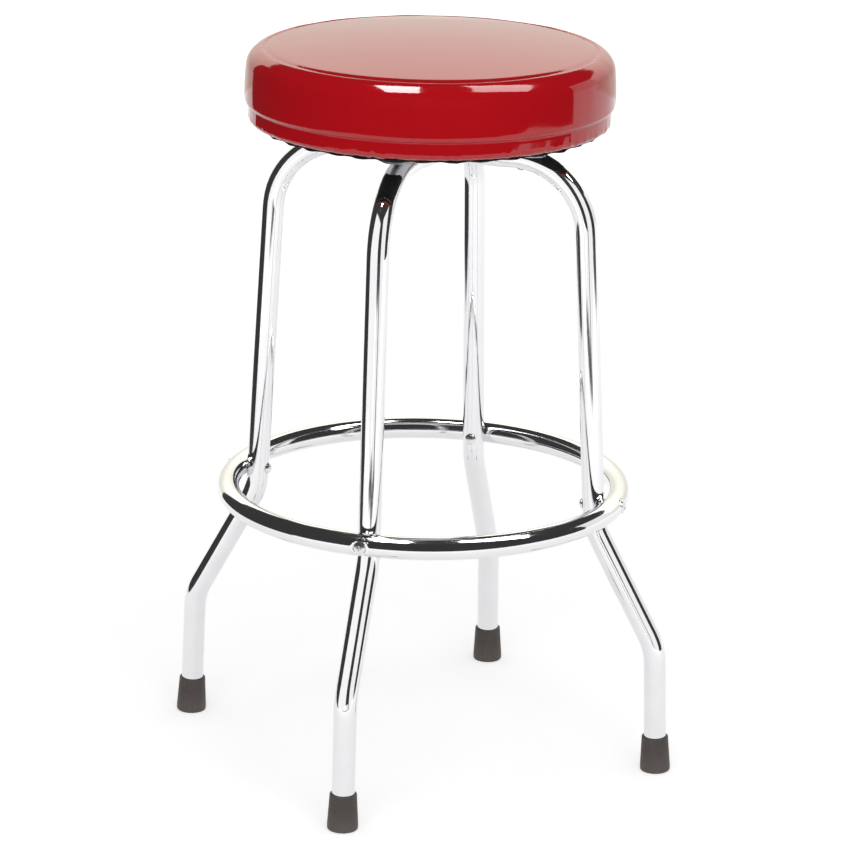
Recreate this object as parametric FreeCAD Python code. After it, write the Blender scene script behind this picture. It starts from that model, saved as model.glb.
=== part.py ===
import FreeCAD, Part
import math
import os

V = FreeCAD.Vector
ORIGIN = V(0, 0, 0)
UP = V(0, 0, 1)
ALONG = V(1, 0, 0)
FULL_TURN = 360.0
os.makedirs("parts", exist_ok=True)

# All sizes are millimetres. Radii called "from the axis" are measured from the stool's own
# vertical axis, and heights from the floor. The legs stand on the diagonals of X and Y.

# Bent tube of the legs
tube_diameter = 22.2
tube_wall = 1.2
top_run_height = 615.5
top_corner_from_axis = 156.6
knee_from_axis = 176.9
knee_height = 249.4
ankle_from_axis = 243.2
ankle_height = 128.3
foot_from_axis = 247.9
top_bend_radius = 75.0
knee_bend_radius = 60.0
ankle_bend_radius = 60.0
first_leg_angle = 45.0
leg_count = 4

# Flattened crossing of the two leg frames
lap_gap = 0.1
lap_margin = 2.0
crush_taper_length = 32.0

# Foot ring
ring_height = 271.3
ring_tube_diameter = 22.2
ring_tube_wall = 1.2
ring_nest_depth = 2.4
ring_seat_clearance = 0.05

# Screws and cap nuts that hold the ring to the legs
ring_screw_radius = 2.95
ring_screw_head_radius = 6.0
ring_screw_head_height = 2.8
cap_nut_radius = 5.7
cap_nut_height = 4.6
cap_nut_rim_height = 1.4
cap_nut_bore_depth = 3.0
dimple_depth = 1.2
dimple_clearance = 0.7
hole_clearance = 0.3
thread_clearance = 0.05
recess_width = 1.1
recess_length = 5.0
recess_depth = 1.5

# Rubber feet, measured along the leg's own end
foot_height = 35.8
foot_bottom_wall = 3.85
foot_top_wall = 2.05
foot_floor_thickness = 6.0
foot_shoulder_height = 5.5
foot_edge_round = 2.6
foot_lip_round = 0.6
foot_bore_clearance = 0.05
foot_worn_depth = 0.6
foot_washer_thickness = 1.5
foot_washer_clearance = 0.3
foot_washer_hole_radius = 4.0

# Swivel plates and their bearing
plate_thickness = 2.0
lower_plate_side = 178.0
upper_plate_side = 152.0
plate_corner_radius = 14.0
swivel_gap = 14.4
leg_screw_edge_distance = 22.5
seat_screw_edge_distance = 19.4
race_pitch_radius = 38.0
race_width = 12.0
race_rim_gap = 3.0
ball_diameter = 8.0
ball_count = 18
ball_clearance = 0.1
cage_thickness = 1.0
cage_width = 10.0
cage_clearance = 0.15
lip_width = 3.0
lip_thickness = 1.6
lip_height = 2.4
skirt_clearance = 0.4
skirt_thickness = 1.8
hook_floor_clearance = 0.6
hook_thickness = 1.4
hook_reach = 2.2

# Screws, washers and nuts that hold the lower plate to the legs
leg_screw_radius = 2.95
leg_screw_head_radius = 5.0
leg_screw_head_height = 3.4
leg_screw_end = 1.5
leg_nut_across_flats = 10.0
leg_nut_height = 5.0
leg_washer_radius = 6.0
leg_washer_thickness = 1.2

# Wood screws that hold the upper plate to the seat board
wood_screw_radius = 2.2
wood_screw_head_radius = 4.4
wood_screw_head_height = 2.4
wood_screw_depth = 13.0
wood_screw_tip_length = 4.0

# Seat board
board_setback = 5.0
board_thickness = 16.0
board_edge_round = 5.0

# Cushion: crown, shoulder and side are arcs that run into one another
vinyl_thickness = 1.2
cushion_side_radius = 180.4
cushion_side_height = 11.0
side_bulge_radius = 240.0
cushion_crown_height = 65.4
crown_radius = 1200.0
shoulder_radius = 19.0
crease_roll_radius = 2.6
foam_clearance = 0.05
seam_setback = 1.5
seam_groove_radius = 0.7
hem_width = 25.4

# Black dust cover under the seat, folded at its rim, and the staples through it
dust_cover_thickness = 0.6
dust_cover_setback = 9.4
dust_fold_width = 12.0
dust_fold_thickness = 1.2
dust_step_clearance = 4.0
dust_step_width = 8.0
staple_count = 36
staple_setback = 6.0
staple_crown = 10.0
staple_wire = 0.7
staple_depth = 7.0

# Sizes that follow from the ones above
tube_radius = tube_diameter / 2
ring_tube_radius = ring_tube_diameter / 2
crushed_height = tube_radius - lap_gap / 2
mid_wall_perimeter = math.pi * (tube_diameter - tube_wall)
mid_wall_height = crushed_height - tube_wall
crushed_flat = (mid_wall_perimeter - math.pi * mid_wall_height) / 2
crushed_width = crushed_flat + crushed_height
lap_half_length = crushed_width / 2 + lap_margin
crush_start = lap_half_length + crush_taper_length
leg_run = knee_from_axis - top_corner_from_axis
leg_drop = top_run_height - knee_height
leg_at_ring = knee_from_axis - leg_run * (ring_height - knee_height) / leg_drop
ring_radius = leg_at_ring + tube_radius + ring_tube_radius - ring_nest_depth
foot_bore_radius = tube_radius + foot_bore_clearance
foot_bottom_radius = foot_bore_radius + foot_bottom_wall
foot_top_radius = foot_bore_radius + foot_top_wall
ring_screw_hole = ring_screw_radius + hole_clearance
leg_screw_hole = leg_screw_radius + hole_clearance
leg_screw_from_axis = math.sqrt(2) * (lower_plate_side / 2 - leg_screw_edge_distance)
seat_screw_from_axis = math.sqrt(2) * (upper_plate_side / 2 - seat_screw_edge_distance)
lower_plate_bottom = top_run_height + tube_radius
lower_plate_top = lower_plate_bottom + plate_thickness
upper_plate_bottom = lower_plate_top + swivel_gap
upper_plate_top = upper_plate_bottom + plate_thickness
ball_height = lower_plate_top + swivel_gap / 2
ball_radius = ball_diameter / 2
board_bottom = upper_plate_top + dust_cover_thickness
board_top = board_bottom + board_thickness
board_radius = cushion_side_radius - board_setback
hem_inner_radius = board_radius - hem_width
dust_step_start = hem_inner_radius - dust_step_clearance - dust_step_width
dust_cover_radius = board_radius - dust_cover_setback
staple_from_axis = dust_cover_radius - staple_setback
leg_angles = [first_leg_angle + FULL_TURN / leg_count * k for k in range(leg_count)]
foot_names = ["rear_right", "rear_left", "front_left", "front_right"]
low_crush = top_run_height - (tube_radius - crushed_height / 2)
high_crush = top_run_height + (tube_radius - crushed_height / 2)


def line(start, end):
    """Straight edge between two points."""
    return Part.makeLine(start, end)


def arc(start, middle, end):
    """Circular edge through three points."""
    return Part.Arc(start, middle, end).toShape()


def flat(x, z):
    """Point in the upright plane through the stool's axis."""
    return V(x, 0, z)


def on_circle(centre, radius, angle):
    """Point on a circle in the upright plane, its angle in degrees from +X towards +Z."""
    turn = math.radians(angle)
    return centre + V(radius * math.cos(turn), 0, radius * math.sin(turn))


def round_arc(centre, radius, start_angle, end_angle):
    """Arc in the upright plane, its angles in degrees from +X towards +Z."""
    middle = (start_angle + end_angle) / 2
    return arc(*[on_circle(centre, radius, angle) for angle in (start_angle, middle, end_angle)])


def spin(edges):
    """Solid of revolution about the stool's axis from a closed outline in the upright plane."""
    outline = Part.Wire(Part.__sortEdges__(edges))
    return Part.makeSolid(Part.Face(outline).revolve(ORIGIN, UP, FULL_TURN))


def spin_polygon(points):
    """Solid of revolution from corner points (distance from the axis, height)."""
    corners = [flat(x, z) for x, z in points]
    outline = Part.makePolygon(corners + corners[:1])
    return Part.makeSolid(Part.Face(outline).revolve(ORIGIN, UP, FULL_TURN))


def disc(radius, bottom, top):
    """Upright cylinder on the stool's axis."""
    return Part.makeCylinder(radius, top - bottom, V(0, 0, bottom), UP)


def turned(shape, angle):
    """Copy of a shape turned about the stool's axis."""
    copy = shape.copy()
    copy.rotate(ORIGIN, UP, angle)
    return copy


def around(shape, angles):
    """Copies of a shape at several angles about the stool's axis, as one group."""
    return Part.makeCompound([turned(shape, angle) for angle in angles])


def save(name, shape):
    """Write one sub-part."""
    shape.exportStep("parts/%s.step" % name)


def bent_path(corners, bends):
    """Wire along straight runs joined by tangent arcs at the inner corners."""
    edges = []
    start = corners[0]
    for before, corner, after, bend in zip(corners, corners[1:], corners[2:], bends):
        towards = (before - corner).normalize()
        away = (after - corner).normalize()
        half_angle = towards.getAngle(away) / 2
        tangent = bend / math.tan(half_angle)
        inward = (towards + away).normalize()
        first = corner + towards * tangent
        last = corner + away * tangent
        middle = corner + inward * (bend / math.sin(half_angle) - bend)
        edges.append(line(start, first))
        edges.append(arc(first, middle, last))
        start = last
    edges.append(line(start, corners[-1]))
    return Part.Wire(edges)


foot_point = flat(foot_from_axis, 0)
foot_axis = (flat(ankle_from_axis, ankle_height) - foot_point).normalize()
tube_end = foot_point + foot_axis * (foot_floor_thickness + foot_washer_thickness)
half_path = bent_path(
    [
        flat(crush_start, top_run_height),
        flat(top_corner_from_axis, top_run_height),
        flat(knee_from_axis, knee_height),
        flat(ankle_from_axis, ankle_height),
        tube_end,
    ],
    [top_bend_radius, knee_bend_radius, ankle_bend_radius],
)


def leg_pipe(radius):
    """Round bar of one leg, from the flattened crossing down to the tube's end."""
    section = Part.Wire(Part.makeCircle(radius, flat(crush_start, top_run_height), ALONG))
    return half_path.makePipeShell([section], True, False)


def round_section(along, radius):
    """Round tube section of six arcs, so that it lofts to the flattened one."""
    def at(angle):
        turn = math.radians(angle)
        return V(along, radius * math.cos(turn), top_run_height + radius * math.sin(turn))
    step = FULL_TURN / 6
    starts = [step * k for k in range(1, 7)]
    return Part.Wire([arc(at(start), at(start + step / 2), at(start + step)) for start in starts])


def crushed_section(along, height, inset):
    """Flattened tube section: two flats and two rounded ends, centred at a height."""
    half = crushed_height / 2 - inset
    reach = crushed_flat / 2
    slant = half * math.sqrt(0.5)

    def at(across, up):
        return V(along, across, height + up)
    return Part.Wire([
        line(at(reach, half), at(-reach, half)),
        arc(at(-reach, half), at(-reach - slant, slant), at(-reach - half, 0)),
        arc(at(-reach - half, 0), at(-reach - slant, -slant), at(-reach, -half)),
        line(at(-reach, -half), at(reach, -half)),
        arc(at(reach, -half), at(reach + slant, -slant), at(reach + half, 0)),
        arc(at(reach + half, 0), at(reach + slant, slant), at(reach, half)),
    ])


def bent_tube(inset, crush_height):
    """Whole bent bar of a leg frame, its surface moved inwards by an inset."""
    radius = tube_radius - inset
    pipe = leg_pipe(radius)
    wide = crushed_section(lap_half_length, crush_height, inset)
    taper = Part.makeLoft([round_section(crush_start, radius), wide], True, True)
    middle = Part.Face(wide).extrude(ALONG * (-2 * lap_half_length))
    other_taper = taper.mirror(ORIGIN, ALONG)
    other_pipe = pipe.mirror(ORIGIN, ALONG)
    return pipe.fuse([taper, middle, other_taper, other_pipe])


def leg_dimples(grow):
    """Pressed flats for the ring's cap nuts and for the screw heads under the top run."""
    reach = tube_radius
    nut_side = leg_at_ring - tube_radius
    nut_flat = Part.makeCylinder(
        cap_nut_radius + dimple_clearance + grow,
        reach + dimple_depth + grow,
        flat(nut_side - reach, ring_height),
        ALONG,
    )
    head_flat = Part.makeCylinder(
        leg_screw_head_radius + dimple_clearance + grow,
        reach + dimple_depth + grow,
        flat(leg_screw_from_axis, top_run_height - tube_radius - reach),
        UP,
    )
    one_side = Part.makeCompound([nut_flat, head_flat])
    return [one_side, one_side.mirror(ORIGIN, ALONG)]


def leg_holes():
    """Screw holes through a leg frame."""
    reach = tube_diameter
    ring_hole = Part.makeCylinder(ring_screw_hole, 2 * reach, flat(leg_at_ring - reach, ring_height), ALONG)
    plate_hole = Part.makeCylinder(
        leg_screw_hole, 2 * reach, flat(leg_screw_from_axis, top_run_height - reach), UP)
    one_side = Part.makeCompound([ring_hole, plate_hole])
    return [one_side, one_side.mirror(ORIGIN, ALONG)]


def leg_frame(crush_height):
    """One bent tube with a leg at each end, flattened where it crosses the other."""
    outside = bent_tube(0, crush_height).cut(leg_dimples(0))
    inside = bent_tube(tube_wall, crush_height).cut(leg_dimples(tube_wall))
    return outside.cut(inside).cut(leg_holes())


def foot_ring():
    """Round tube ring, dimpled where the legs nest in it and where the screw heads sit."""
    def ring_bar(inset):
        bar = Part.makeTorus(ring_radius, ring_tube_radius - inset, V(0, 0, ring_height), UP)
        leg = leg_pipe(tube_radius + ring_seat_clearance + inset)
        head_flat = Part.makeCylinder(
            ring_screw_head_radius + dimple_clearance + inset,
            ring_tube_radius,
            flat(ring_radius + ring_tube_radius - dimple_depth - inset, ring_height),
            ALONG,
        )
        pressed = Part.makeCompound([leg, head_flat])
        return bar.cut([turned(pressed, angle) for angle in leg_angles])
    hole = Part.makeCylinder(
        ring_screw_hole, 2 * ring_tube_diameter, flat(ring_radius - ring_tube_diameter, ring_height), ALONG)
    return ring_bar(0).cut(ring_bar(ring_tube_wall)).cut([turned(hole, angle) for angle in leg_angles])


def domed_head(radius, height, rim):
    """Low dome on a short rim, standing on the plane z = 0."""
    rise = height - rim
    sphere_radius = (radius * radius + rise * rise) / (2 * rise)
    centre = flat(0, height - sphere_radius)
    edge_angle = math.degrees(math.asin((sphere_radius - rise) / sphere_radius))
    return spin([
        line(ORIGIN, flat(radius, 0)),
        line(flat(radius, 0), flat(radius, rim)),
        round_arc(centre, sphere_radius, edge_angle, 90),
        line(flat(0, height), ORIGIN),
    ])


def cross_recess(head_height):
    """Cross-shaped driver recess in the top of a screw head."""
    bottom = head_height - recess_depth
    bar = Part.makeBox(
        recess_length, recess_width, recess_depth, V(-recess_length / 2, -recess_width / 2, bottom))
    return bar.fuse(turned(bar, 90))


def pan_screw(head_radius, head_height, shank_radius, length):
    """Pan-head screw, its head above z = 0 and its shank below."""
    rim_height = head_height / 3
    head = domed_head(head_radius, head_height, rim_height).cut(cross_recess(head_height))
    shank = disc(shank_radius, -length, 0)
    return head.fuse(shank).removeSplitter()


def pointing(shape, place, direction):
    """Copy of a shape modelled along +Z, set at a place and pointing in a direction."""
    copy = shape.copy()
    copy.Placement = FreeCAD.Placement(place, FreeCAD.Rotation(UP, direction))
    return copy


def ring_screws():
    """Screws through the ring and the legs, heads outwards."""
    seat = ring_radius + ring_tube_radius - dimple_depth
    nut_seat = leg_at_ring - tube_radius + dimple_depth
    length = seat - nut_seat + cap_nut_bore_depth - hole_clearance
    screw = pan_screw(ring_screw_head_radius, ring_screw_head_height, ring_screw_radius, length)
    return around(pointing(screw, flat(seat, ring_height), ALONG), leg_angles)


def ring_nuts():
    """Domed cap nuts on the inner side of the legs."""
    dome = domed_head(cap_nut_radius, cap_nut_height, cap_nut_rim_height)
    nut = dome.cut(disc(ring_screw_radius + thread_clearance, 0, cap_nut_bore_depth))
    seat = leg_at_ring - tube_radius + dimple_depth
    return around(pointing(nut, flat(seat, ring_height), ALONG * -1), leg_angles)


def rubber_foot():
    """Rubber ferrule on the end of a leg, worn flat on the floor."""
    edge = foot_edge_round
    lip = foot_lip_round
    low = -foot_worn_depth
    body = spin([
        line(flat(0, low), flat(foot_bottom_radius - edge, low)),
        round_arc(flat(foot_bottom_radius - edge, low + edge), edge, -90, 0),
        line(flat(foot_bottom_radius, low + edge), flat(foot_bottom_radius, foot_shoulder_height)),
        line(flat(foot_bottom_radius, foot_shoulder_height), flat(foot_top_radius, foot_height - lip)),
        round_arc(flat(foot_top_radius - lip, foot_height - lip), lip, 0, 90),
        line(flat(foot_top_radius - lip, foot_height), flat(foot_bore_radius, foot_height)),
        line(flat(foot_bore_radius, foot_height), flat(foot_bore_radius, foot_floor_thickness)),
        line(flat(foot_bore_radius, foot_floor_thickness), flat(0, foot_floor_thickness)),
        line(flat(0, foot_floor_thickness), flat(0, low)),
    ])
    standing = pointing(body, foot_point, foot_axis)
    under_floor = Part.makeBox(
        4 * foot_bottom_radius, 4 * foot_bottom_radius, foot_height,
        V(foot_from_axis - 2 * foot_bottom_radius, -2 * foot_bottom_radius, -foot_height))
    return standing.cut(under_floor)


def foot_washers():
    """Steel washers that keep the tube ends from cutting through the rubber."""
    radius = tube_radius - foot_washer_clearance
    hole = disc(foot_washer_hole_radius, 0, foot_washer_thickness)
    washer = disc(radius, 0, foot_washer_thickness).cut(hole)
    seat = foot_point + foot_axis * foot_floor_thickness
    return around(pointing(washer, seat, foot_axis), leg_angles)


def square_plate(side, bottom, hole_from_axis, hole_radius):
    """Square steel plate with rounded corners and a hole near each corner."""
    plate = Part.makeBox(side, side, plate_thickness, V(-side / 2, -side / 2, bottom))
    corners = [edge for edge in plate.Edges if abs(edge.tangentAt(edge.FirstParameter).z) > 0.5]
    plate = plate.makeFillet(plate_corner_radius, corners)
    hole = Part.makeCylinder(hole_radius, plate_thickness, V(hole_from_axis, 0, bottom), UP)
    return plate.cut([turned(hole, angle) for angle in leg_angles])


def ball_groove():
    """Track that the balls run in, for both races."""
    return Part.makeTorus(race_pitch_radius, ball_radius + ball_clearance, V(0, 0, ball_height), UP)


race_inner = race_pitch_radius - race_width / 2
race_outer = race_pitch_radius + race_width / 2
lip_outer = race_outer + lip_width
skirt_inner = lip_outer + skirt_clearance
skirt_outer = skirt_inner + skirt_thickness


def lower_race():
    """Pressed ring under the balls, with an outer lip that the upper race hooks under."""
    rim = ball_height - race_rim_gap / 2
    lip_bottom = lower_plate_top + lip_height
    ring = spin_polygon([
        (race_inner, lower_plate_top),
        (race_outer, lower_plate_top),
        (race_outer, lip_bottom),
        (lip_outer, lip_bottom),
        (lip_outer, lip_bottom + lip_thickness),
        (race_outer, lip_bottom + lip_thickness),
        (race_outer, rim),
        (race_inner, rim),
    ])
    return ring.cut(ball_groove())


def upper_race():
    """Pressed ring over the balls, its skirt rolled in under the lower race's lip."""
    rim = ball_height + race_rim_gap / 2
    web_bottom = upper_plate_bottom - plate_thickness
    hook_bottom = lower_plate_top + hook_floor_clearance
    hook_inner = skirt_inner - hook_reach
    ring = spin_polygon([
        (race_inner, upper_plate_bottom),
        (skirt_outer, upper_plate_bottom),
        (skirt_outer, hook_bottom),
        (hook_inner, hook_bottom),
        (hook_inner, hook_bottom + hook_thickness),
        (skirt_inner, hook_bottom + hook_thickness),
        (skirt_inner, web_bottom),
        (race_outer, web_bottom),
        (race_outer, rim),
        (race_inner, rim),
    ])
    return ring.cut(ball_groove())


ball_angles = [FULL_TURN / ball_count * k for k in range(ball_count)]


def balls():
    """Steel balls of the swivel."""
    return around(Part.makeSphere(ball_radius, flat(race_pitch_radius, ball_height)), ball_angles)


def ball_cage():
    """Flat ring that keeps the balls apart."""
    bottom = ball_height - cage_thickness / 2
    top = ball_height + cage_thickness / 2
    outer = disc(race_pitch_radius + cage_width / 2, bottom, top)
    inner = disc(race_pitch_radius - cage_width / 2, bottom, top)
    pocket = Part.makeCylinder(
        ball_radius + cage_clearance, cage_thickness, flat(race_pitch_radius, bottom), UP)
    return outer.cut(inner).cut([turned(pocket, angle) for angle in ball_angles])


def leg_plate_screws():
    """Screws from under the top runs up through the lower plate."""
    seat = top_run_height - tube_radius + dimple_depth
    top = lower_plate_top + leg_washer_thickness + leg_nut_height + leg_screw_end
    screw = pan_screw(leg_screw_head_radius, leg_screw_head_height, leg_screw_radius, top - seat)
    return around(pointing(screw, flat(leg_screw_from_axis, seat), UP * -1), leg_angles)


def leg_plate_washers():
    """Washers under the nuts on the lower plate."""
    outer = disc(leg_washer_radius, 0, leg_washer_thickness)
    washer = outer.cut(disc(leg_screw_hole, 0, leg_washer_thickness))
    washer.translate(flat(leg_screw_from_axis, lower_plate_top))
    return around(washer, leg_angles)


def leg_plate_nuts():
    """Hexagon nuts on the lower plate."""
    sixth = math.pi / 3
    corner = leg_nut_across_flats / 2 / math.cos(sixth / 2)
    points = [V(corner * math.cos(sixth * k), corner * math.sin(sixth * k), 0) for k in range(6)]
    prism = Part.Face(Part.makePolygon(points + points[:1])).extrude(UP * leg_nut_height)
    nut = prism.cut(disc(leg_screw_radius + thread_clearance, 0, leg_nut_height))
    nut.translate(flat(leg_screw_from_axis, lower_plate_top + leg_washer_thickness))
    return around(nut, leg_angles)


def wood_screw():
    """Wood screw, head above z = 0 and pointed shank below."""
    length = plate_thickness + dust_cover_thickness + wood_screw_depth
    straight = length - wood_screw_tip_length
    head = domed_head(wood_screw_head_radius, wood_screw_head_height, wood_screw_head_height / 3)
    head = head.cut(cross_recess(wood_screw_head_height))
    tip = Part.makeCone(0, wood_screw_radius, wood_screw_tip_length, V(0, 0, -length), UP)
    return head.fuse([disc(wood_screw_radius, -straight, 0), tip]).removeSplitter()


def seat_plate_screws():
    """Wood screws up through the upper plate into the seat board."""
    seat = flat(seat_screw_from_axis, upper_plate_bottom)
    return around(pointing(wood_screw(), seat, UP * -1), leg_angles)


def wood_screw_holes(bottom, top):
    """Upright holes for the wood screws."""
    radius = wood_screw_radius + thread_clearance
    hole = Part.makeCylinder(radius, top - bottom, flat(seat_screw_from_axis, bottom), UP)
    return [turned(hole, angle) for angle in leg_angles]


def board_outline(grow, bottom):
    """Disc with a rounded lower edge, grown past the board's own edge."""
    radius = board_radius + grow
    edge = board_edge_round + grow
    return spin([
        line(flat(0, bottom), flat(radius - edge, bottom)),
        round_arc(flat(radius - edge, bottom + edge), edge, -90, 0),
        line(flat(radius, bottom + edge), flat(radius, board_top)),
        line(flat(radius, board_top), flat(0, board_top)),
        line(flat(0, board_top), flat(0, bottom)),
    ])


def seat_board():
    """Plywood disc under the cushion, drilled for the wood screws and the staples."""
    pilots = wood_screw_holes(board_bottom, board_bottom + wood_screw_depth)
    return board_outline(0, board_bottom).cut(pilots + [staples()])


def direction_angle(start, end):
    """Angle in degrees, from +X towards +Z, of the way from one point to another."""
    return math.degrees(math.atan2(end.z - start.z, end.x - start.x))


# The cushion's three arcs: centres, and the angles at which each runs into the next
crown_centre = flat(0, board_top + cushion_crown_height - crown_radius)
side_centre = flat(cushion_side_radius - side_bulge_radius, board_top + cushion_side_height)
crown_to_side = (side_centre - crown_centre).Length
crown_to_shoulder = crown_radius - shoulder_radius
side_to_shoulder = side_bulge_radius - shoulder_radius
opening_angle = math.degrees(math.acos(
    (crown_to_shoulder ** 2 + crown_to_side ** 2 - side_to_shoulder ** 2)
    / (2 * crown_to_shoulder * crown_to_side)))
crown_angle = direction_angle(crown_centre, side_centre) - opening_angle
shoulder_centre = on_circle(crown_centre, crown_to_shoulder, crown_angle)
side_angle = direction_angle(side_centre, shoulder_centre)
roll_angle = -math.degrees(math.asin(
    (cushion_side_height - crease_roll_radius) / (side_bulge_radius - crease_roll_radius)))
roll_centre = on_circle(side_centre, side_bulge_radius - crease_roll_radius, roll_angle)
shoulder_start = on_circle(crown_centre, crown_radius, crown_angle)
seam_from_axis = shoulder_start.x - seam_setback
seam_height = crown_centre.z + math.sqrt(crown_radius ** 2 - seam_from_axis ** 2)


def cushion(inset, base_radius, base_height):
    """Crowned cushion with drawn-in sides, its surface moved inwards by an inset."""
    under_roll = on_circle(roll_centre, crease_roll_radius - inset, -90)
    crease = flat(base_radius, under_roll.z)
    return spin([
        round_arc(crown_centre, crown_radius - inset, 90, crown_angle),
        round_arc(shoulder_centre, shoulder_radius - inset, crown_angle, side_angle),
        round_arc(side_centre, side_bulge_radius - inset, side_angle, roll_angle),
        round_arc(roll_centre, crease_roll_radius - inset, roll_angle, -90),
        line(under_roll, crease),
        line(crease, flat(base_radius, base_height)),
        line(flat(base_radius, base_height), flat(0, base_height)),
        line(flat(0, base_height), flat(0, board_top + cushion_crown_height - inset)),
    ])


def cover():
    """Whole vinyl cover: over the foam, down the board's edge and folded under it."""
    band_radius = board_radius + vinyl_thickness
    board_middle = board_bottom + board_thickness / 2
    outer_board = board_outline(vinyl_thickness, board_bottom - vinyl_thickness)
    outside = cushion(0, band_radius, board_middle).fuse(outer_board)
    inside = cushion(vinyl_thickness, board_radius, board_middle).fuse(board_outline(0, board_bottom))
    shell = outside.cut(inside)
    return shell.cut(disc(hem_inner_radius, board_bottom - vinyl_thickness, board_bottom))


def cover_pieces():
    """Top panel and side band of the cover, parted at the seam groove."""
    groove = Part.makeTorus(seam_from_axis, seam_groove_radius, V(0, 0, seam_height), UP)
    whole = cover().cut([groove, staples()])
    core = disc(seam_from_axis, seam_height - cushion_side_height, board_top + 2 * cushion_crown_height)
    return whole.common(core), whole.cut(core)


def seat_foam():
    """Foam pad between the board and the cover."""
    return cushion(vinyl_thickness + foam_clearance, board_radius - foam_clearance, board_top)


def dust_cover():
    """Black cloth under the seat, stepped down over the hem and folded at its rim."""
    over_hem = board_bottom - vinyl_thickness
    step_end = dust_step_start + dust_step_width
    fold_start = dust_cover_radius - dust_fold_width
    fold_bottom = over_hem - dust_cover_thickness - dust_fold_thickness
    cloth = spin_polygon([
        (0, board_bottom),
        (0, board_bottom - dust_cover_thickness),
        (dust_step_start, board_bottom - dust_cover_thickness),
        (step_end, over_hem - dust_cover_thickness),
        (fold_start, over_hem - dust_cover_thickness),
        (fold_start, fold_bottom),
        (dust_cover_radius, fold_bottom),
        (dust_cover_radius, over_hem),
        (step_end, over_hem),
        (dust_step_start, board_bottom),
    ])
    holes = wood_screw_holes(board_bottom - dust_cover_thickness, board_bottom)
    return cloth.cut(holes + [staples()])


def staples():
    """Staples through the dust cover and the hem into the board."""
    crown_top = board_bottom - vinyl_thickness - dust_cover_thickness - dust_fold_thickness
    half = staple_wire / 2
    crown = Part.makeBox(
        staple_wire, staple_crown, staple_wire,
        V(staple_from_axis - half, -staple_crown / 2, crown_top - staple_wire))
    leg = Part.makeBox(
        staple_wire, staple_wire, staple_depth,
        V(staple_from_axis - half, -staple_crown / 2, crown_top))
    other = leg.copy()
    other.translate(V(0, staple_crown - staple_wire, 0))
    staple = crown.fuse([leg, other]).removeSplitter()
    return around(staple, [FULL_TURN / staple_count * (k + 0.5) for k in range(staple_count)])


save("leg_frame_lower", turned(leg_frame(low_crush), first_leg_angle))
save("leg_frame_upper", turned(leg_frame(high_crush), first_leg_angle + FULL_TURN / leg_count))
save("foot_ring", foot_ring())
save("foot_ring_screws", ring_screws())
save("foot_ring_nuts", ring_nuts())
for foot_name, leg_angle in zip(foot_names, leg_angles):
    save("rubber_foot_" + foot_name, turned(rubber_foot(), leg_angle))
save("foot_washers", foot_washers())
save("swivel_lower_plate", square_plate(
    lower_plate_side, lower_plate_bottom, leg_screw_from_axis, leg_screw_hole))
save("swivel_lower_race", lower_race())
save("leg_plate_screws", leg_plate_screws())
save("leg_plate_washers", leg_plate_washers())
save("leg_plate_nuts", leg_plate_nuts())
save("swivel_balls", balls())
save("ball_cage", ball_cage())
save("swivel_upper_plate", square_plate(
    upper_plate_side, upper_plate_bottom, seat_screw_from_axis, wood_screw_radius + hole_clearance))
save("swivel_upper_race", upper_race())
save("seat_plate_screws", seat_plate_screws())
save("seat_board", seat_board())
save("seat_foam", seat_foam())
top_panel, side_band = cover_pieces()
save("cover_top_panel", top_panel)
save("cover_side_band", side_band)
save("dust_cover", dust_cover())
save("hem_staples", staples())
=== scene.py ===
"""Looks of a round padded swivel stool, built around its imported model.

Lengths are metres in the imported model's own frame: +Z up, the floor at zero and the
stool's axis on Z. The front of the picture looks at the stool's front left leg.
"""
import logging
import math
from dataclasses import dataclass, replace
from enum import Enum
from typing import Callable, Iterable, Sequence

import bmesh
import bpy
from mathutils import Matrix, Vector, noise


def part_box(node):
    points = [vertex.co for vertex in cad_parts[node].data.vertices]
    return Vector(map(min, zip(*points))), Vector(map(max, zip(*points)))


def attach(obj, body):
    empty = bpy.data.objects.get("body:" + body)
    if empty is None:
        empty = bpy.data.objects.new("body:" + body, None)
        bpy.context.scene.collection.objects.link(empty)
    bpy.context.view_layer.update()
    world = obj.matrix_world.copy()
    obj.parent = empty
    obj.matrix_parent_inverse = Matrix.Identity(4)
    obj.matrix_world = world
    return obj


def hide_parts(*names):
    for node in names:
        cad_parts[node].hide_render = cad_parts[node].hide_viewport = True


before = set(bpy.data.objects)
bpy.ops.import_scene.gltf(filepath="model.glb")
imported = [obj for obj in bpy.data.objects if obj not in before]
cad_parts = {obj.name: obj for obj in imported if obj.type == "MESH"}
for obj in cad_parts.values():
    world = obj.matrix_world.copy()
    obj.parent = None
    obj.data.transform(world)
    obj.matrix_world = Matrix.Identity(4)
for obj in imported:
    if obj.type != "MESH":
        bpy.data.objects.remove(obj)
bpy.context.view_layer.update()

log = logging.getLogger("stool")
logging.basicConfig(level=logging.INFO, format="%(name)s: %(message)s")

MM = 0.001
FULL_TURN = 2 * math.pi
SEAT_BODY = "seat"
WAVES_PER_UNIT = 6.4  # bands that the wave texture lays in a metre at scale 1

Colour = tuple[float, float, float]
Point = tuple[float, float]


class Slot(Enum):
    """The record's material slots."""

    CHROME_TUBE = "chrome_tube"
    CHROME_FASTENERS = "chrome_fasteners"
    FOOT_RUBBER = "foot_rubber"
    ZINC_STEEL = "zinc_plated_steel"
    BEARING_STEEL = "bearing_steel"
    CAGE_PLASTIC = "cage_plastic"
    PLYWOOD = "plywood"
    FOAM = "foam"
    RED_VINYL = "red_vinyl"
    BLACK_CLOTH = "black_cloth"
    STAPLE_WIRE = "staple_wire"


# Shader building


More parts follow.
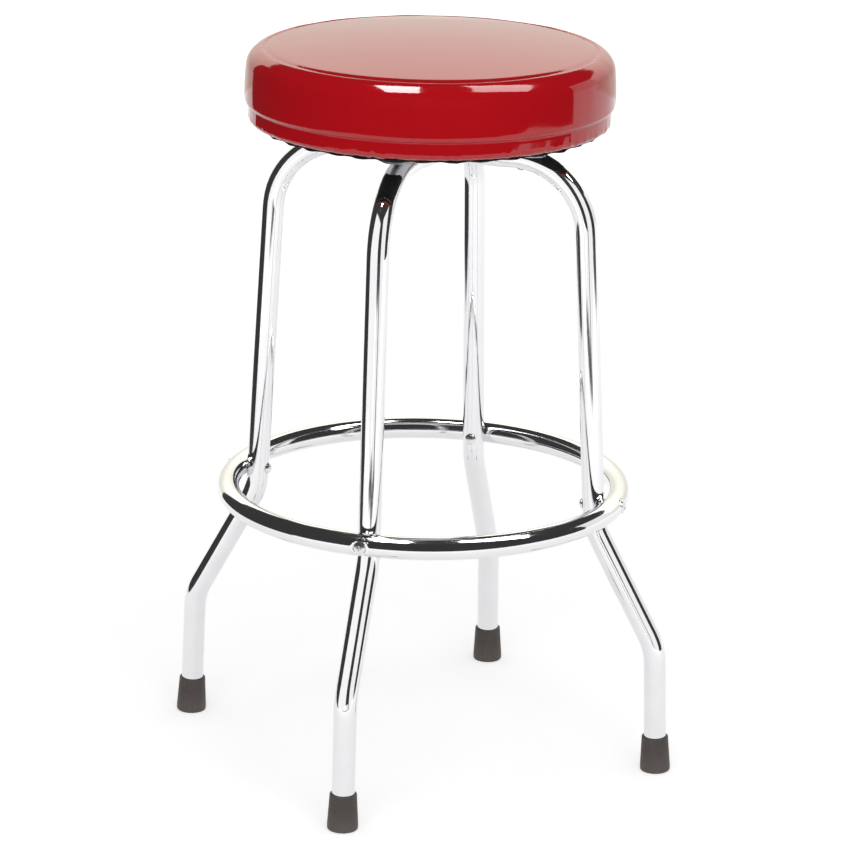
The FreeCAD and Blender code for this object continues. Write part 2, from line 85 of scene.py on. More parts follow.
class NodeTree:
    """Adds nodes to a node tree and links them."""

    def __init__(self, tree: bpy.types.NodeTree) -> None:
        """Keep the tree."""
        self.nodes = tree.nodes
        self.links = tree.links

    def feed(self, socket: bpy.types.NodeSocket, value: object) -> None:
        """Link a socket to another one, or set its constant value."""
        if isinstance(value, bpy.types.NodeSocket):
            self.links.new(value, socket)
        elif isinstance(value, tuple) and len(value) == 3 and socket.type == "RGBA":
            socket.default_value = (*value, 1.0)
        else:
            socket.default_value = value

    def put(self, kind: str, inputs: dict[str | int, object] | None = None,
            **values: object) -> bpy.types.Node:
        """Add a node.

        Args:
            kind: Blender's name of the node type.
            inputs: What each named or numbered input gets, a socket or a constant.
            **values: Properties of the node.

        Returns:
            The new node.
        """
        node = self.nodes.new(kind)
        for name, value in values.items():
            setattr(node, name, value)
        for name, value in (inputs or {}).items():
            self.feed(node.inputs[name], value)
        return node

    def math(self, operation: str, first: object, second: object,
             clamp: bool = False) -> bpy.types.NodeSocket:
        """Join two values by a math operation."""
        node = self.put("ShaderNodeMath", {0: first, 1: second}, operation=operation,
                        use_clamp=clamp)
        return node.outputs[0]

    def span(self, value: object, low: float, high: float, start: object = 0.0,
             end: object = 1.0) -> bpy.types.NodeSocket:
        """Map a value that runs from start to end on to low to high, clamped."""
        node = self.put("ShaderNodeMapRange", {
            "Value": value, "From Min": start, "From Max": end, "To Min": low, "To Max": high})
        return node.outputs["Result"]


class Shader(NodeTree):
    """A Principled material while it is put together."""

    def __init__(self, name: str, **values: float | Colour) -> None:
        """Start a material.

        Args:
            name: The material's name.
            **values: Constant values of the Principled shader's own sockets, with
                underscores in place of the blanks in their names.
        """
        self.material = bpy.data.materials.new(name)
        self.material.use_nodes = True
        super().__init__(self.material.node_tree)
        self.surface = self.nodes["Principled BSDF"]
        for socket, value in values.items():
            self.paint(socket.replace("_", " "), value)
        self.place = self.nodes.new("ShaderNodeTexCoord").outputs["Object"]

    def mask(self, tree: bpy.types.NodeTree, **values: float) -> bpy.types.NodeSocket:
        """Place a shared node group on object coordinates.

        Args:
            tree: The group's node tree.
            **values: Its inputs by name.

        Returns:
            The group's mask.
        """
        node = self.put("ShaderNodeGroup", node_tree=tree)
        self.feed(node.inputs["Place"], self.place)
        for name, value in values.items():
            self.feed(node.inputs[name], value)
        return node.outputs["Mask"]

    def blend(self, share: object, first: object, second: object) -> bpy.types.NodeSocket:
        """Mix two colours by a share from 0 to 1 and return the mixed colour."""
        node = self.put("ShaderNodeMix", data_type="RGBA")
        for place, value in ((0, share), (6, first), (7, second)):
            self.feed(node.inputs[place], value)
        return node.outputs[2]

    def paint(self, socket: str, value: object) -> None:
        """Feed one of the shader's sockets."""
        self.feed(self.surface.inputs[socket], value)

    def raise_surface(self, height: object, depth: float, strength: float = 1.0) -> None:
        """Give the surface a bump from a height, its depth in metres.

        Args:
            height: The height's socket, from 0 to 1.
            depth: How far 1 stands above 0, in metres.
            strength: The share of the bump that shows.
        """
        bump = self.put("ShaderNodeBump", {
            "Strength": strength, "Distance": depth, "Height": height})
        self.paint("Normal", bump.outputs["Normal"])


class GroupBuilder(NodeTree):
    """A shader node group, with a place as its first input and a mask as its output."""

    def __init__(self, name: str, inputs: dict[str, float]) -> None:
        """Start a group.

        Args:
            name: The group's name.
            inputs: Name and default of each input after Place.
        """
        self.tree = bpy.data.node_groups.new(name, "ShaderNodeTree")
        super().__init__(self.tree)
        sockets = self.tree.interface
        sockets.new_socket("Place", in_out="INPUT", socket_type="NodeSocketVector")
        for label, default in inputs.items():
            socket = sockets.new_socket(label, in_out="INPUT", socket_type="NodeSocketFloat")
            socket.default_value = default
        sockets.new_socket("Mask", in_out="OUTPUT", socket_type="NodeSocketFloat")
        self.given = self.nodes.new("NodeGroupInput").outputs
        self.result = self.nodes.new("NodeGroupOutput").inputs

    def noise(self, place: object, scale: object, detail: float,
              roughness: float) -> bpy.types.NodeSocket:
        """Add a noise texture and return its value."""
        return self.put("ShaderNodeTexNoise", {
            "Vector": place, "Scale": scale, "Detail": detail, "Roughness": roughness}).outputs[0]

    def finish(self, mask: bpy.types.NodeSocket) -> bpy.types.NodeTree:
        """Put out the mask and return the finished group."""
        self.feed(self.result["Mask"], mask)
        return self.tree


def make_mottle() -> bpy.types.NodeTree:
    """Build the group for slow colour variation: soft patches at a given size.

    Returns:
        A group with the inputs Size (metres) and Contrast.
    """
    build = GroupBuilder("mottle", {"Size": 0.05, "Contrast": 1.0})
    rate = build.math("DIVIDE", 1.0, build.given["Size"])
    cloud = build.noise(build.given["Place"], rate, 4.0, 0.6)
    centred = build.math("SUBTRACT", cloud, 0.5)
    grown = build.math("MULTIPLY", centred, build.given["Contrast"])
    return build.finish(build.math("ADD", grown, 0.5, clamp=True))


def make_scratches() -> bpy.types.NodeTree:
    """Build the group for fine scratches and wiping marks, in three directions.

    Returns:
        A group with the inputs Size (metres between marks) and Amount.
    """
    build = GroupBuilder("scratches", {"Size": 0.01, "Amount": 0.3})
    rate = build.math("DIVIDE", 1.0, build.given["Size"])
    marks = None
    for turn, stretch in ((0.4, 14.0), (1.9, 9.0), (2.7, 20.0)):
        turned = build.put("ShaderNodeMapping", {
            "Vector": build.given["Place"], "Rotation": (turn, turn * 1.7, turn * 0.6),
            "Scale": (stretch, 0.6, 0.6)})
        crest = build.span(build.noise(turned.outputs[0], rate, 2.0, 0.5), 0.0, 1.0, 0.66, 0.72)
        marks = crest if marks is None else build.math("MAXIMUM", marks, crest)
    return build.finish(build.math("MULTIPLY", marks, build.given["Amount"]))


def make_dust() -> bpy.types.NodeTree:
    """Build the group for dust that settles low down and in patches.

    Returns:
        A group with the inputs Low and High, the heights between which the dust fades
        out, and Amount.
    """
    build = GroupBuilder("floor_dust", {"Low": 0.0, "High": 0.03, "Amount": 0.5})
    place = build.given["Place"]
    height = build.put("ShaderNodeSeparateXYZ", {"Vector": place}).outputs["Z"]
    fade = build.span(height, 1.0, 0.0, build.given["Low"], build.given["High"])
    patch = build.math("MULTIPLY", fade, build.noise(place, 420.0, 5.0, 0.7))
    return build.finish(build.math("MULTIPLY", patch, build.given["Amount"], clamp=True))


@dataclass(frozen=True)
class SharedEffects:
    """The node groups that several finishes use."""

    mottle: bpy.types.NodeTree
    scratches: bpy.types.NodeTree
    dust: bpy.types.NodeTree


# Finishes


@dataclass(frozen=True)
class Pressed:
    """Flats pressed into the foot ring under its four screw heads."""

    ring_height: float
    ring_radius: float
    tube_radius: float
    flat_radius: float = 8.5 * MM
    rim: float = 1.5 * MM

    @property
    def depth(self) -> float:
        """How far the flat's edge lies under the round tube."""
        return self.flat_radius ** 2 / (2 * self.tube_radius)

    def height(self, shader: Shader) -> bpy.types.NodeSocket:
        """Height that evens out the tube's curve around each screw, from 0 to 1.

        Args:
            shader: The material that gets the flats.

        Returns:
            The height's socket.
        """
        level = shader.put("ShaderNodeSeparateXYZ", {0: shader.place}).outputs["Z"]
        rise = shader.math(
            "DIVIDE", shader.math("SUBTRACT", level, self.ring_height), self.flat_radius)
        near = None
        across = (self.ring_radius + self.tube_radius) / math.sqrt(2)
        for x, y in ((1, 1), (-1, 1), (-1, -1), (1, -1)):
            screw = (x * across, y * across, self.ring_height)
            away = shader.put("ShaderNodeVectorMath", {0: shader.place, 1: screw},
                              operation="DISTANCE")
            gap = away.outputs["Value"]
            near = gap if near is None else shader.math("MINIMUM", near, gap)
        inside = shader.span(near, 1.0, 0.0, self.flat_radius, self.flat_radius + self.rim)
        return shader.math("MULTIPLY", shader.math("MULTIPLY", rise, rise), inside)


@dataclass(frozen=True)
class Plating:
    """Bright or dull plated metal."""

    name: str
    colour: Colour
    worn_colour: Colour
    smooth: float
    rough: float
    mark_size: float = 0.02
    marks: float = 0.15
    ripple: float = 0.000004
    pressed: Pressed | None = None

    def build(self, effects: SharedEffects) -> bpy.types.Material:
        """Make the material: mottled plate, fine scratches, a slight ripple and any flats."""
        shader = Shader(self.name, Metallic=1.0)
        cloud = shader.mask(effects.mottle, Size=0.04, Contrast=1.6)
        lines = shader.mask(effects.scratches, Size=self.mark_size, Amount=self.marks)
        shader.paint("Base Color", shader.blend(cloud, self.colour, self.worn_colour))
        rough = shader.span(cloud, self.smooth, self.rough)
        shader.paint("Roughness", shader.math("ADD", rough, lines))
        wave = shader.mask(effects.mottle, Size=0.016, Contrast=1.0)
        if self.pressed is None:
            shader.raise_surface(wave, self.ripple)
        else:
            flats = self.pressed.height(shader)
            wave = shader.math("MULTIPLY", wave, self.ripple / self.pressed.depth)
            shader.raise_surface(shader.math("ADD", flats, wave), self.pressed.depth)
        return shader.material


@dataclass(frozen=True)
class Vinyl:
    """Glossy upholstery vinyl."""

    name: str
    colour: Colour
    deep_colour: Colour
    smooth: float = 0.05
    rough: float = 0.09

    def build(self, effects: SharedEffects) -> bpy.types.Material:
        """Make the material: saturated colour, high gloss, faint grain and wiping marks."""
        shader = Shader(self.name, IOR=1.5)
        cloud = shader.mask(effects.mottle, Size=0.09, Contrast=1.3)
        lines = shader.mask(effects.scratches, Size=0.03, Amount=0.012)
        shader.paint("Base Color", shader.blend(cloud, self.colour, self.deep_colour))
        gloss = shader.span(cloud, self.smooth, self.rough)
        shader.paint("Roughness", shader.math("ADD", gloss, lines))
        grain = shader.put("ShaderNodeTexVoronoi", {"Scale": 700.0, "Vector": shader.place},
                           feature="SMOOTH_F1")
        shader.raise_surface(grain.outputs["Distance"], 0.000012, 0.3)
        return shader.material


@dataclass(frozen=True)
class Rubber:
    """Matt moulded rubber, scuffed and dusty near the floor."""

    name: str
    colour: Colour
    dust_colour: Colour

    def build(self, effects: SharedEffects) -> bpy.types.Material:
        """Make the material: matt base, fine pitting, dust and pale scuffs."""
        shader = Shader(self.name, IOR=1.52)
        cloud = shader.mask(effects.mottle, Size=0.012, Contrast=1.8)
        dust = shader.mask(effects.dust, Low=0.0, High=0.022, Amount=0.8)
        scuffs = shader.mask(effects.scratches, Size=0.012, Amount=0.35)
        lighter = tuple(min(1.0, 1.5 * part) for part in self.colour)
        base = shader.blend(cloud, self.colour, lighter)
        marked = shader.blend(shader.math("MAXIMUM", dust, scuffs), base, self.dust_colour)
        shader.paint("Base Color", marked)
        shader.paint("Roughness", shader.span(cloud, 0.52, 0.68))
        pits = shader.put("ShaderNodeTexNoise", {
            "Scale": 1400.0, "Detail": 3.0, "Vector": shader.place})
        shader.raise_surface(pits.outputs[0], 0.00008, 0.6)
        return shader.material


@dataclass(frozen=True)
class Cloth:
    """Thin black spun dust cloth."""

    name: str
    colour: Colour
    # lighter colour of the lint, and painted highlight on the weave's raised threads
    lint_and_crest_highlight_colour: Colour
    thread_pitch: float = 0.0009

    def build(self, effects: SharedEffects) -> bpy.types.Material:
        """Make the material: a fine crossed weave with painted highlight on its raised threads and
        painted shade in its gaps, and lint.
        """
        shader = Shader(self.name, Specular_IOR_Level=0.2, IOR=1.4)
        height = None
        for axis in ("X", "Y"):
            wave = shader.put("ShaderNodeTexWave", {
                "Scale": 1.0 / self.thread_pitch / WAVES_PER_UNIT, "Distortion": 0.6,
                "Vector": shader.place}, bands_direction=axis)
            crest = wave.outputs["Fac"]
            height = crest if height is None else shader.math("MULTIPLY", height, crest)
        lint = shader.mask(effects.mottle, Size=0.006, Contrast=2.0)
        # raised threads lighter and gaps darker, following the bump: painted light and shade
        base = shader.blend(height, self.colour, self.lint_and_crest_highlight_colour)
        # lint patches take the same lighter colour: real lint
        shader.paint("Base Color", shader.blend(shader.span(lint, 0.0, 0.25), base, self.lint_and_crest_highlight_colour))
        shader.paint("Roughness", shader.span(lint, 0.8, 0.95))
        shader.raise_surface(height, 0.00012, 0.8)
        return shader.material


@dataclass(frozen=True)
class Plywood:
    """Plywood: a turned face and a layered edge."""

    name: str
    colour: Colour
    dark_colour: Colour
    ply: float = 0.0016

    def build(self, effects: SharedEffects) -> bpy.types.Material:
        """Make the material: veneer layers by height and grain along the board."""
        shader = Shader(self.name, IOR=1.45)
        layers = shader.put("ShaderNodeTexWave", {
            "Scale": 1.0 / self.ply / WAVES_PER_UNIT, "Distortion": 0.4,
            "Vector": shader.place}, bands_direction="Z", wave_profile="SAW")
        stretched = shader.put("ShaderNodeMapping", {
            "Scale": (1.0, 14.0, 1.0), "Vector": shader.place})
        grain = shader.put("ShaderNodeTexNoise", {
            "Scale": 18.0, "Detail": 6.0, "Vector": stretched.outputs[0]})
        mixed = shader.math("MULTIPLY", layers.outputs["Fac"], grain.outputs[0])
        shader.paint("Base Color", shader.blend(mixed, self.colour, self.dark_colour))
        shader.paint("Roughness", shader.span(grain.outputs[0], 0.55, 0.8))
        shader.raise_surface(mixed, 0.0002, 0.5)
        return shader.material


@dataclass(frozen=True)
class Foam:
    """Open-celled upholstery foam."""

    name: str
    colour: Colour
    # darker colour painted into the pores' hollows as shade
    pore_shade_colour: Colour

    def build(self, effects: SharedEffects) -> bpy.types.Material:
        """Make the material: pores in two sizes, their hollows darkened with painted shade."""
        shader = Shader(self.name, IOR=1.3)
        cells = shader.put("ShaderNodeTexVoronoi", {"Scale": 800.0, "Vector": shader.place})
        cloud = shader.mask(effects.mottle, Size=0.03, Contrast=1.4)
        pores = shader.span(cells.outputs["Distance"], 0.0, 1.0, 0.1, 0.7)
        # the pores' hollows, where the bump lies lowest, take the darker colour: painted shade
        shader.paint("Base Color", shader.blend(pores, self.pore_shade_colour, self.colour))
        shader.paint("Roughness", shader.span(cloud, 0.85, 1.0))
        shader.raise_surface(pores, 0.0006, 0.8)
        return shader.material


@dataclass(frozen=True)
class Plastic:
    """Plain moulded plastic."""

    name: str
    colour: Colour

    def build(self, effects: SharedEffects) -> bpy.types.Material:
        """Make the material: slight flow marks and handling scratches."""
        shader = Shader(self.name, IOR=1.5)
        cloud = shader.mask(effects.mottle, Size=0.01, Contrast=1.5)
        lines = shader.mask(effects.scratches, Size=0.008, Amount=0.2)
        darker = tuple(0.8 * part for part in self.colour)
        shader.paint("Base Color", shader.blend(cloud, self.colour, darker))
        shader.paint("Roughness", shader.math("ADD", shader.span(cloud, 0.3, 0.45), lines))
        shader.raise_surface(cloud, 0.00003, 0.5)
        return shader.material


FINISHES = {
    Slot.CHROME_TUBE: Plating("chrome_tube", (0.80, 0.80, 0.815), (0.75, 0.75, 0.76), 0.06, 0.09,
                              marks=0.05),
    Slot.CHROME_FASTENERS: Plating("chrome_fasteners", (0.82, 0.82, 0.83), (0.72, 0.72, 0.72),
                                   0.20, 0.32, mark_size=0.006, marks=0.15),
    Slot.FOOT_RUBBER: Rubber("foot_rubber", (0.050, 0.040, 0.036), (0.15, 0.135, 0.125)),
    Slot.ZINC_STEEL: Plating("zinc_plated_steel", (0.56, 0.57, 0.58), (0.42, 0.43, 0.44),
                             0.28, 0.42, mark_size=0.01, marks=0.25, ripple=0.00001),
    Slot.BEARING_STEEL: Plating("bearing_steel", (0.60, 0.60, 0.61), (0.45, 0.44, 0.42),
                                0.10, 0.22, mark_size=0.004, marks=0.1),
    Slot.CAGE_PLASTIC: Plastic("cage_plastic", (0.62, 0.60, 0.54)),
    Slot.PLYWOOD: Plywood("plywood", (0.60, 0.43, 0.25), (0.36, 0.22, 0.11)),
    Slot.FOAM: Foam("foam", (0.80, 0.74, 0.58), (0.52, 0.45, 0.30)),
    Slot.RED_VINYL: Vinyl("red_vinyl", (0.43, 0.004, 0.008), (0.39, 0.003, 0.007)),
    Slot.BLACK_CLOTH: Cloth("black_cloth", (0.010, 0.010, 0.011), (0.035, 0.035, 0.037)),
    Slot.STAPLE_WIRE: Plating("staple_wire", (0.62, 0.62, 0.63), (0.48, 0.47, 0.45),
                              0.2, 0.35, mark_size=0.003, marks=0.1),
}


class Finisher:
    """Gives each piece the material of its slot."""

    def __init__(self) -> None:
        """Build the shared effects and every finish once."""
        effects = SharedEffects(make_mottle(), make_scratches(), make_dust())
        self.materials = {slot: finish.build(effects) for slot, finish in FINISHES.items()}
        low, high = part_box("foot_ring")
        tube = (high.z - low.z) / 2
        pressed = Pressed((low.z + high.z) / 2, high.x - tube, tube)
        ring = replace(FINISHES[Slot.CHROME_TUBE], name="chrome_ring", pressed=pressed)
        self.ring_material = ring.build(effects)

    def dress(self, piece: bpy.types.Object, slot: Slot) -> None:
        """Give a piece one material on all its faces."""
        if not piece.material_slots:
            piece.data.materials.append(self.materials[slot])
        for place in piece.material_slots:
            place.material = self.materials[slot]


# Mesh building


def arc(centre: Point, radius: float, start: float, end: float, count: int) -> list[Point]:
    """Points along an arc in the upright plane.

    Args:
        centre: The arc's centre (distance from the axis, height).
        radius: Its radius.
        start: Its first angle, in radians from outwards towards up.
        end: Its last angle.
        count: How many steps it has.

    Returns:
        The points, both ends included.
    """
    angles = [start + (end - start) * step / count for step in range(count + 1)]
    return [(centre[0] + radius * math.cos(a), centre[1] + radius * math.sin(a)) for a in angles]


def outward(line: Sequence[Point]) -> list[Vector]:
    """Outward normals at the points of an outline that runs outwards and down."""
    normals = []
    for index in range(len(line)):
        before = Vector(line[max(0, index - 1)])
        after = Vector(line[min(len(line) - 1, index + 1)])
        run = (after - before).normalized()
        normals.append(Vector((-run.y, run.x)))
    if line[0][0] == 0:
        normals[0] = Vector((0.0, 1.0))
    return normals


def rounded_step(edge: float, value: float) -> float:
    """A smooth step from 0 at nought to 1 at the edge."""
    share = min(1.0, max(0.0, value / edge))
    return share * share * (3 - 2 * share)


def bell(value: float, width: float) -> float:
    """A bell curve that is 1 at nought."""
    return math.exp(-((value / width) ** 2))


def finish_mesh(mesh: bmesh.types.BMesh, name: str, sharp_degrees: float = 40.0) -> bpy.types.Object:
    """Turn a bmesh into a smooth-shaded object at the origin.

    Args:
        mesh: The finished bmesh, which is freed.
        name: The piece's name.
        sharp_degrees: Edges that turn more than this stay sharp.

    Returns:
        The new object, linked to the scene.
    """
    data = bpy.data.meshes.new(name)
    for face in mesh.faces:
        face.smooth = True
    for edge in mesh.edges:
        if edge.is_manifold and edge.calc_face_angle(0.0) > math.radians(sharp_degrees):
            edge.smooth = False
    mesh.to_mesh(data)
    mesh.free()
    piece = bpy.data.objects.new(name, data)
    bpy.context.scene.collection.objects.link(piece)
    log.info("%s: %d faces", name, len(data.polygons))
    return piece


def spin_shell(points: Sequence[Point], steps: int,
               marks: Sequence[int] | None = None) -> bmesh.types.BMesh:
    """Closed surface of revolution about the stool's axis.

    Args:
        points: The closed outline (distance from the axis, height), each point once.
            Where it starts and ends on the axis, that edge is left out.
        steps: How many faces the full turn has.
        marks: A number for each point, kept in the vertex layer "along", so that a later
            step can tell where on the outline a vertex lies.

    Returns:
        A bmesh with outward normals.
    """
    mesh = bmesh.new()
    along = mesh.verts.layers.float.new("along")
    chain = []
    for mark, (radius, height) in zip(marks or range(len(points)), points):
        vert = mesh.verts.new((radius, 0.0, height))
        vert[along] = mark
        chain.append(vert)
    pairs = list(zip(chain, chain[1:]))
    if max(points[0][0], points[-1][0]) > 0:
        pairs.append((chain[-1], chain[0]))
    edges = [mesh.edges.new(pair) for pair in pairs]
    bmesh.ops.spin(
        mesh, geom=chain + edges, cent=(0, 0, 0), axis=(0, 0, 1), angle=FULL_TURN, steps=steps,
        use_merge=True)
    bmesh.ops.remove_doubles(mesh, verts=mesh.verts, dist=0.01 * MM)
    bmesh.ops.recalc_face_normals(mesh, faces=mesh.faces)
    return mesh


# The cushion


@dataclass
class CushionShape:
    """Outline of the cushion: crown, seam, shoulder, side, crease, band and hem."""

    board_radius: float
    board_bottom: float
    board_top: float
    side_radius: float
    apex: float
    crown_radius: float = 1200 * MM
    shoulder_radius: float = 19 * MM
    side_height: float = 11 * MM
    side_bulge: float = 240 * MM
    side_drop: float = 5.1 * MM
    under_radius: float = 6.5 * MM
    under_turn: float = math.radians(58)
    crease_radius: float = 1.7 * MM
    vinyl: float = 1.2 * MM
    board_edge: float = 5 * MM
    hem_width: float = 25.4 * MM
    seam_radius: float = 161.1 * MM

    def __post_init__(self) -> None:
        """Work out where the arcs meet."""
        self.crown_centre = Vector((0.0, self.apex - self.crown_radius))
        self.side_centre = Vector((self.side_radius - self.side_bulge,
                                   self.board_top + self.side_height))
        base = (self.side_centre - self.crown_centre).length
        near = self.crown_radius - self.shoulder_radius
        far = self.side_bulge - self.shoulder_radius
        opening = math.acos((near ** 2 + base ** 2 - far ** 2) / (2 * near * base))
        slope = self.side_centre - self.crown_centre
        self.crown_angle = math.atan2(slope.y, slope.x) - opening
        self.shoulder_centre = self.crown_centre + near * Vector(
            (math.cos(self.crown_angle), math.sin(self.crown_angle)))
        lean = self.shoulder_centre - self.side_centre
        self.side_angle = math.atan2(lean.y, lean.x)
        self.band_radius = self.board_radius + self.vinyl
        self.seam_angle = math.acos(self.seam_radius / self.crown_radius)

    def top_line(self) -> list[Point]:
        """Outer points of the top panel, from the axis to the seam."""
        middle, close = (math.acos((self.seam_radius - gap) / self.crown_radius)
                         for gap in (21.1 * MM, 7.1 * MM))
        coarse = arc(self.crown_centre, self.crown_radius, math.pi / 2, middle, 20)
        near = arc(self.crown_centre, self.crown_radius, middle, close, 10)
        edge = arc(self.crown_centre, self.crown_radius, close, self.seam_angle, 16)
        return coarse[:-1] + near[:-1] + edge

    def band_line(self) -> list[Point]:
        """Outer points of the side band, from the seam down and under to the hem."""
        crown = arc(self.crown_centre, self.crown_radius, self.seam_angle, self.crown_angle, 4)
        shoulder = arc(self.shoulder_centre, self.shoulder_radius, self.crown_angle,
                       self.side_angle, 44)
        side_end = -math.asin(self.side_drop / self.side_bulge)
        side = arc(self.side_centre, self.side_bulge, self.side_angle, side_end, 14)
        under_centre = Vector(side[-1]) - self.under_radius * Vector(
            (math.cos(side_end), math.sin(side_end)))
        under = arc(under_centre, self.under_radius, side_end, -self.under_turn, 9)
        turn = Vector((math.cos(self.under_turn), -math.sin(self.under_turn)))
        crease_centre = Vector(under[-1]) + self.crease_radius * turn
        crease = arc(crease_centre, self.crease_radius, math.pi - self.under_turn, math.pi, 5)
        edge = self.board_edge + self.vinyl
        band_top, band_bottom = crease[-1][1], self.board_bottom + self.board_edge
        band = [(self.band_radius, band_top + (band_bottom - band_top) * k / 6)
                for k in range(1, 6)]
        hem_start, hem_end = self.band_radius - edge, self.board_radius - self.hem_width
        rounded = arc((hem_start, band_bottom), edge, 0.0, -math.pi / 2, 9)
        hem = [(hem_start + (hem_end - hem_start) * k / 8, self.board_bottom - self.vinyl)
               for k in range(1, 9)]
        return (crown[:-1] + shoulder[:-1] + side[:-1] + under[:-1] + crease + band + rounded
                + hem)


@dataclass
class Puckers:
    """Small folds that a sewn or stapled edge draws into the vinyl."""

    start: float
    depth: float
    rise: float
    reach: float
    pitch: float
    seed: float

    def height(self, angle: float, distance: float, radius: float) -> float:
        """Height of the surface at a place near the edge.

        Args:
            angle: Angle about the stool's axis.
            distance: Distance from the sewn edge along the surface.
            radius: The edge's own radius.

        Returns:
            The height above the plain surface, in metres.
        """
        if distance > 4 * self.reach:
            return 0.0
        fine = radius / self.pitch
        place = Vector((fine * math.cos(angle), fine * math.sin(angle), self.seed))
        ripple = noise.noise(place) + 0.5 * noise.noise(2.1 * place)
        strength = max(0.2, 0.6 + 1.1 * noise.noise(0.16 * place + Vector((0, 0, 7.0))))
        grown = self.start + (self.depth - self.start) * (1 - math.exp(-distance / self.rise))
        return grown * ripple * strength * math.exp(-distance / self.reach)


class Cushion:
    """The cushion's vinyl cover, sewn from a top panel and a side band, and its foam."""

    steps = 640
    groove_depth = 0.9 * MM
    flat_stretch = math.radians(-110.2)  # where the seam's lip lies flat, near the front
    inner_stride = 4

    def __init__(self, finisher: Finisher) -> None:
        """Take the cushion's sizes from the frame."""
        board_low, board_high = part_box("seat_board")
        _, band_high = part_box("cover_side_band")
        _, top_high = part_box("cover_top_panel")
        self.finisher = finisher
        self.shape = CushionShape(
            board_radius=board_high.x, board_bottom=board_low.z, board_top=board_high.z,
            side_radius=band_high.x, apex=top_high.z)
        self.top_puckers = Puckers(
            start=0.2 * MM, depth=0.1 * MM, rise=2 * MM, reach=4 * MM, pitch=9 * MM, seed=3.0)
        self.seam_puckers = Puckers(
            start=0.2 * MM, depth=0.45 * MM, rise=1.5 * MM, reach=2.6 * MM, pitch=9 * MM, seed=3.0)
        self.hem_pleats = Puckers(
            start=1.2 * MM, depth=0.6 * MM, rise=6 * MM, reach=8 * MM, pitch=6 * MM, seed=11.0)

    def shell(self, line: Sequence[Point], relief: Callable[[float, float, Point], float],
              name: str) -> bpy.types.Object:
        """Spin a vinyl panel with its thickness, and lay the relief on it.

        Args:
            line: The panel's outer points in order.
            relief: Height of the surface for an angle, a distance from the line's first
                point, and that point of the line.
            name: The piece's name.

        Returns:
            The new piece.
        """
        slopes = outward(line)
        travelled = [0.0]
        for before, after in zip(line, line[1:]):
            travelled.append(travelled[-1] + (Vector(after) - Vector(before)).length)
        kept = sorted({*range(0, len(line), self.inner_stride), len(line) - 1}, reverse=True)
        inner = [(max(0.0, line[k][0] - self.shape.vinyl * slopes[k].x),
                  line[k][1] - self.shape.vinyl * slopes[k].y) for k in kept]
        marks = [*range(len(line)), *kept]
        mesh = spin_shell([*line, *inner], self.steps, marks)
        along = mesh.verts.layers.float["along"]
        for vert in mesh.verts:
            index = int(round(vert[along]))
            angle = math.atan2(vert.co.y, vert.co.x)
            lift = relief(angle, travelled[index], line[index])
            out = slopes[index]
            vert.co += lift * Vector((out.x * math.cos(angle), out.x * math.sin(angle), out.y))
        return finish_mesh(mesh, name, 60.0)

    def top_relief(self, angle: float, distance: float, place: Point) -> float:
        """Relief of the top panel: rolled down and puckered at the seam.

        Args:
            angle: Angle about the stool's axis.
            distance: Distance from the axis along the panel; not used.
            place: The point of the outline.

        Returns:
            The height above the plain panel, in metres.
        """
        whole = self.shape.seam_radius
        to_seam = max(0.0, whole - place[0])
        roll = -self.groove_depth * (1 - rounded_step(9 * MM, to_seam)) ** 1.6
        across = Vector((place[0] * math.cos(angle), place[0] * math.sin(angle), 0.06))
        soft = 0.3 * MM * noise.noise(16 * across) * bell(to_seam - 50 * MM, 50 * MM)
        return roll + soft + self.top_puckers.height(angle, to_seam, whole)

    def band_relief(self, angle: float, distance: float, place: Point) -> float:
        """Relief of the side band: seam groove, raised lip, slow waves and hem pleats.

        Args:
            angle: Angle about the stool's axis.
            distance: Distance from the seam along the band.
            place: The point of the outline.

        Returns:
            The height above the plain band, in metres.
        """
        groove = -self.groove_depth * bell(distance, 1.6 * MM)
        aside = math.remainder(angle - self.flat_stretch, FULL_TURN)
        uneven = 0.55 + 0.9 * noise.noise(Vector((5 * math.cos(angle), 5 * math.sin(angle), 1.0)))
        tight = max(0.0, uneven) * (1 - bell(aside, 0.2))
        lip = 0.4 * MM * bell(distance - 3.6 * MM, 2.2 * MM) * tight
        folds = self.seam_puckers.height(angle, distance, self.shape.seam_radius)
        wave_place = Vector((9 * math.cos(angle), 9 * math.sin(angle), place[1] * 24))
        wave = 0.25 * MM * noise.noise(wave_place) * rounded_step(14 * MM, distance)
        pleats = 0.0
        if place[0] < self.shape.band_radius + 0.1 * MM:
            from_edge = max(0.0, place[1] - self.shape.board_bottom - 3 * MM)
            pleats = self.hem_pleats.height(angle, 1.5 * from_edge, self.shape.band_radius)
        return groove + lip + folds + wave + pleats

    def build(self) -> None:
        """Build the cover's two panels and the foam."""
        top = self.shell(self.shape.top_line(), self.top_relief, "cushion_top")
        side = self.shell(self.shape.band_line(), self.band_relief, "cushion_side")
        foam = self.foam()
        for piece, node, slot in (
            (top, "cover_top_panel", Slot.RED_VINYL),
            (side, "cover_side_band", Slot.RED_VINYL),
            (foam, "seat_foam", Slot.FOAM),
        ):
            self.finisher.dress(piece, slot)
            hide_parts(node)
            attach(piece, SEAT_BODY)

    def foam(self) -> bpy.types.Object:
        """Build the foam pad that fills the cover."""
        shape = self.shape
        outer = [Vector(p) for p in shape.top_line() + shape.band_line()[1:]]
        inset = [Vector((0.0, outer[0].y - shape.vinyl - 1.8 * MM))]
        for before, point, after in zip(outer, outer[1:], outer[2:]):
            run = (after - before).normalized()
            gap = shape.vinyl + (1.8 if point.y > shape.board_top + 20 * MM else 0.9) * MM
            inner = point - gap * Vector((-run.y, run.x))
            if inner.y < shape.board_top + 1.5 * MM:
                break
            inset.append(inner)
        bottom = shape.board_top + 0.2 * MM
        outline = [tuple(p) for p in inset] + [(inset[-1].x - 1 * MM, bottom), (0.0, bottom)]
        return finish_mesh(spin_shell(outline, 160), "foam_pad", 60.0)


